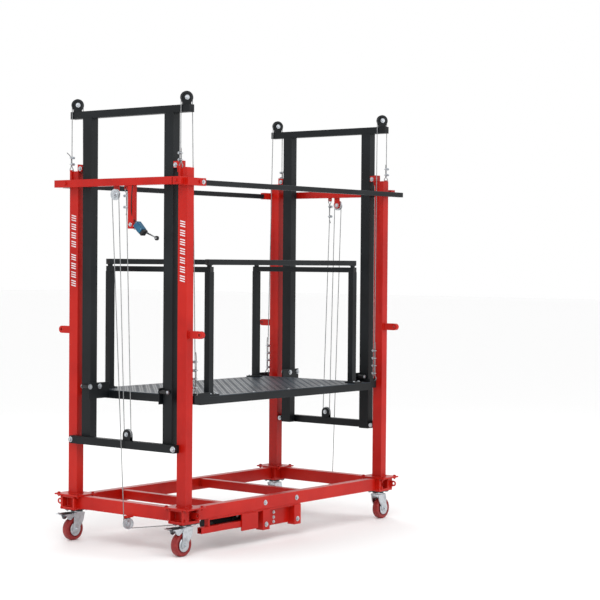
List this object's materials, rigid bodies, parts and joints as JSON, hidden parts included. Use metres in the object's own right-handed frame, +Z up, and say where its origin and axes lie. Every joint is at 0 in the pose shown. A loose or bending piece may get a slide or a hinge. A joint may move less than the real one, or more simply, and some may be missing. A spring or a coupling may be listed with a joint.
{
  "type": "work platform bench",
  "caption": "Electric lifting work platform on casters: a guarded deck hung on wire ropes from two sliding mast frames inside red columns, with a winch under the base.",
  "frame": {"origin": "on the floor under the middle of the machine, at the platform's rest height shown in the picture", "axes": "+X along the platform towards the end without brakes, +Y across it, towards the side away from the winch, +Z up"},
  "size_m": [2.012, 1.067, 2.431],
  "materials": {
    "red_paint": "gloss red enamel",
    "black_paint": "satin black paint",
    "tread_plate": "dark blue-grey chequer plate",
    "zinc_plate": "bright zinc plating",
    "wire_rope": "galvanised wire rope",
    "bright_steel": "turned steel",
    "black_steel": "black oxide steel",
    "wheel_urethane": "dark red polyurethane tread",
    "blue_plastic": "blue switch case",
    "black_rubber": "black cable sheath",
    "motor_black": "black painted casting"
  },
  "bodies": {
    "base": {"base_rail_front": "red_paint", "top_long_rail_front": "black_paint", "base_rail_back": "red_paint", "top_long_rail_back": "black_paint", "base_end_rail_left": "red_paint", "cross_member_left": "red_paint", "top_rail_left": "red_paint", "hoist_rope_left": "wire_rope", "corner_block_left_front": "red_paint", "column_left_front": "red_paint", "platform_rope_left_front": "wire_rope", "corner_block_left_back": "red_paint", "column_left_back": "red_paint", "platform_rope_left_back": "wire_rope", "base_end_rail_right": "red_paint", "cross_member_right": "red_paint", "top_rail_right": "red_paint", "hoist_rope_right": "wire_rope", "corner_block_right_front": "red_paint", "column_right_front": "red_paint", "platform_rope_right_front": "wire_rope", "corner_block_right_back": "red_paint", "column_right_back": "red_paint", "platform_rope_right_back": "wire_rope", "switch_hanger": "red_paint", "limit_switch": "blue_plastic", "switch_cable": "black_rubber", "winch_cradle": "red_paint", "winch_motor": "motor_black", "winch_gearbox": "motor_black"},
    "mast_left": {"mast_frame_left": "black_paint"},
    "mast_right": {"mast_frame_right": "black_paint"},
    "platform": {"deck_frame": "black_paint", "deck_plate": "tread_plate", "guard_end_left": "black_paint", "guard_end_right": "black_paint", "guard_rail_front": "black_paint", "guard_rail_back": "black_paint"},
    "limit_switch_lever": {"limit_switch_lever": "bright_steel"},
    "top_sheave_left_front": {"top_sheave_left_front": "black_steel"},
    "top_sheave_left_back": {"top_sheave_left_back": "black_steel"},
    "fixed_sheave_left": {"fixed_sheave_left": "zinc_plate"},
    "moving_sheave_left": {"moving_sheave_left": "bright_steel"},
    "base_sheave_left": {"base_sheave_left": "zinc_plate"},
    "top_sheave_right_front": {"top_sheave_right_front": "black_steel"},
    "top_sheave_right_back": {"top_sheave_right_back": "black_steel"},
    "fixed_sheave_right": {"fixed_sheave_right": "zinc_plate"},
    "moving_sheave_right": {"moving_sheave_right": "bright_steel"},
    "base_sheave_right": {"base_sheave_right": "zinc_plate"},
    "winch_drum": {"winch_drum": "bright_steel"},
    "caster_left_front": {"caster_fork_left_front": "zinc_plate"},
    "caster_wheel_left_front": {"caster_wheel_left_front": "wheel_urethane"},
    "brake_pedal_front": {"brake_pedal_front": "zinc_plate"},
    "caster_left_back": {"caster_fork_left_back": "zinc_plate"},
    "caster_wheel_left_back": {"caster_wheel_left_back": "wheel_urethane"},
    "brake_pedal_back": {"brake_pedal_back": "zinc_plate"},
    "caster_right_front": {"caster_fork_right_front": "zinc_plate"},
    "caster_wheel_right_front": {"caster_wheel_right_front": "wheel_urethane"},
    "caster_right_back": {"caster_fork_right_back": "zinc_plate"},
    "caster_wheel_right_back": {"caster_wheel_right_back": "wheel_urethane"}
  },
  "joints": [
    {"name": "mast_lift", "type": "slide", "parent": "base", "child": "mast_left", "axis": [0, 0, 1], "range_m": [-0.19, 1.05], "deforming": ["platform_rope_left_front", "platform_rope_left_back", "hoist_rope_left"]},
    {"name": "mast_right_lift", "type": "slide", "parent": "base", "child": "mast_right", "axis": [0, 0, 1], "range_m": [-0.19, 1.05], "deforming": ["platform_rope_right_front", "platform_rope_right_back", "hoist_rope_right"]},
    {"name": "platform_lift", "type": "slide", "parent": "mast_left", "child": "platform", "axis": [0, 0, 1], "range_m": [-0.19, 1.05]},
    {"name": "top_sheave_left_front_spin", "type": "hinge", "parent": "mast_left", "child": "top_sheave_left_front", "pos_m": [-0.87, -0.405, 2.397], "axis": [0.5623, 0.8269, 0], "continuous": true},
    {"name": "top_sheave_left_back_spin", "type": "hinge", "parent": "mast_left", "child": "top_sheave_left_back", "pos_m": [-0.87, 0.405, 2.397], "axis": [0.5623, 0.8269, 0], "continuous": true},
    {"name": "fixed_sheave_left_spin", "type": "hinge", "parent": "base", "child": "fixed_sheave_left", "pos_m": [-0.948, 0.034, 1.897], "axis": [1, 0, 0], "continuous": true},
    {"name": "moving_sheave_left_spin", "type": "hinge", "parent": "mast_left", "child": "moving_sheave_left", "pos_m": [-0.916, -0.036, 0.616], "axis": [1, 0, 0], "continuous": true},
    {"name": "base_sheave_left_spin", "type": "hinge", "parent": "base", "child": "base_sheave_left", "pos_m": [-0.923, -0.05, 0.14], "axis": [-0.3173, -0.9483, 0], "continuous": true},
    {"name": "top_sheave_right_front_spin", "type": "hinge", "parent": "mast_right", "child": "top_sheave_right_front", "pos_m": [0.87, -0.405, 2.397], "axis": [-0.5623, -0.8269, 0], "continuous": true},
    {"name": "top_sheave_right_back_spin", "type": "hinge", "parent": "mast_right", "child": "top_sheave_right_back", "pos_m": [0.87, 0.405, 2.397], "axis": [-0.5623, -0.8269, 0], "continuous": true},
    {"name": "fixed_sheave_right_spin", "type": "hinge", "parent": "base", "child": "fixed_sheave_right", "pos_m": [0.948, -0.018, 1.897], "axis": [-1, 0, 0], "continuous": true},
    {"name": "moving_sheave_right_spin", "type": "hinge", "parent": "mast_right", "child": "moving_sheave_right", "pos_m": [0.916, 0.036, 0.616], "axis": [-1, 0, 0], "continuous": true},
    {"name": "base_sheave_right_spin", "type": "hinge", "parent": "base", "child": "base_sheave_right", "pos_m": [0.923, 0.004, 0.14], "axis": [-0.2037, 0.979, 0], "continuous": true},
    {"name": "winch_drum_spin", "type": "hinge", "parent": "base", "child": "winch_drum", "pos_m": [-0.37, -0.248, 0.15], "axis": [0, 1, 0], "continuous": true},
    {"name": "switch_lever_turn", "type": "hinge", "parent": "base", "child": "limit_switch_lever", "pos_m": [-0.9145, -0.13, 1.706], "axis": [-1, 0, 0], "range_deg": [0, 40], "stiffness_Nm_per_rad": 2},
    {"name": "caster_left_front_swivel", "type": "hinge", "parent": "base", "child": "caster_left_front", "pos_m": [-0.862, -0.405, 0.158], "axis": [0, 0, 1], "continuous": true},
    {"name": "caster_wheel_left_front_spin", "type": "hinge", "parent": "caster_left_front", "child": "caster_wheel_left_front", "pos_m": [-0.892, -0.405, 0.0625], "axis": [0, 1, 0], "continuous": true},
    {"name": "brake_pedal_front_tilt", "type": "hinge", "parent": "caster_left_front", "child": "brake_pedal_front", "pos_m": [-0.903, -0.405, 0.148], "axis": [0, 1, 0], "range_deg": [0, 12]},
    {"name": "caster_left_back_swivel", "type": "hinge", "parent": "base", "child": "caster_left_back", "pos_m": [-0.862, 0.405, 0.158], "axis": [0, 0, 1], "continuous": true},
    {"name": "caster_wheel_left_back_spin", "type": "hinge", "parent": "caster_left_back", "child": "caster_wheel_left_back", "pos_m": [-0.892, 0.405, 0.0625], "axis": [0, 1, 0], "continuous": true},
    {"name": "brake_pedal_back_tilt", "type": "hinge", "parent": "caster_left_back", "child": "brake_pedal_back", "pos_m": [-0.903, 0.405, 0.148], "axis": [0, 1, 0], "range_deg": [0, 12]},
    {"name": "caster_right_front_swivel", "type": "hinge", "parent": "base", "child": "caster_right_front", "pos_m": [0.862, -0.405, 0.158], "axis": [0, 0, 1], "continuous": true},
    {"name": "caster_wheel_right_front_spin", "type": "hinge", "parent": "caster_right_front", "child": "caster_wheel_right_front", "pos_m": [0.892, -0.405, 0.0625], "axis": [0, 1, 0], "continuous": true},
    {"name": "caster_right_back_swivel", "type": "hinge", "parent": "base", "child": "caster_right_back", "pos_m": [0.862, 0.405, 0.158], "axis": [0, 0, 1], "continuous": true},
    {"name": "caster_wheel_right_back_spin", "type": "hinge", "parent": "caster_right_back", "child": "caster_wheel_right_back", "pos_m": [0.892, 0.405, 0.0625], "axis": [0, 1, 0], "continuous": true}
  ],
  "couplings": [
    {"joint": "mast_right_lift", "follows": "mast_lift", "ratio": 1},
    {"joint": "platform_lift", "follows": "mast_lift", "ratio": 1},
    {"joint": "top_sheave_left_front_spin", "follows": "mast_lift", "rad_per_m": -33.077},
    {"joint": "top_sheave_left_back_spin", "follows": "mast_lift", "rad_per_m": -33.077},
    {"joint": "fixed_sheave_left_spin", "follows": "mast_lift", "rad_per_m": -80},
    {"joint": "moving_sheave_left_spin", "follows": "mast_lift", "rad_per_m": 40},
    {"joint": "base_sheave_left_spin", "follows": "mast_lift", "rad_per_m": 80},
    {"joint": "top_sheave_right_front_spin", "follows": "mast_lift", "rad_per_m": -33.077},
    {"joint": "top_sheave_right_back_spin", "follows": "mast_lift", "rad_per_m": -33.077},
    {"joint": "fixed_sheave_right_spin", "follows": "mast_lift", "rad_per_m": -80},
    {"joint": "moving_sheave_right_spin", "follows": "mast_lift", "rad_per_m": 40},
    {"joint": "base_sheave_right_spin", "follows": "mast_lift", "rad_per_m": 80},
    {"joint": "winch_drum_spin", "follows": "mast_lift", "rad_per_m": -44.444}
  ]
}
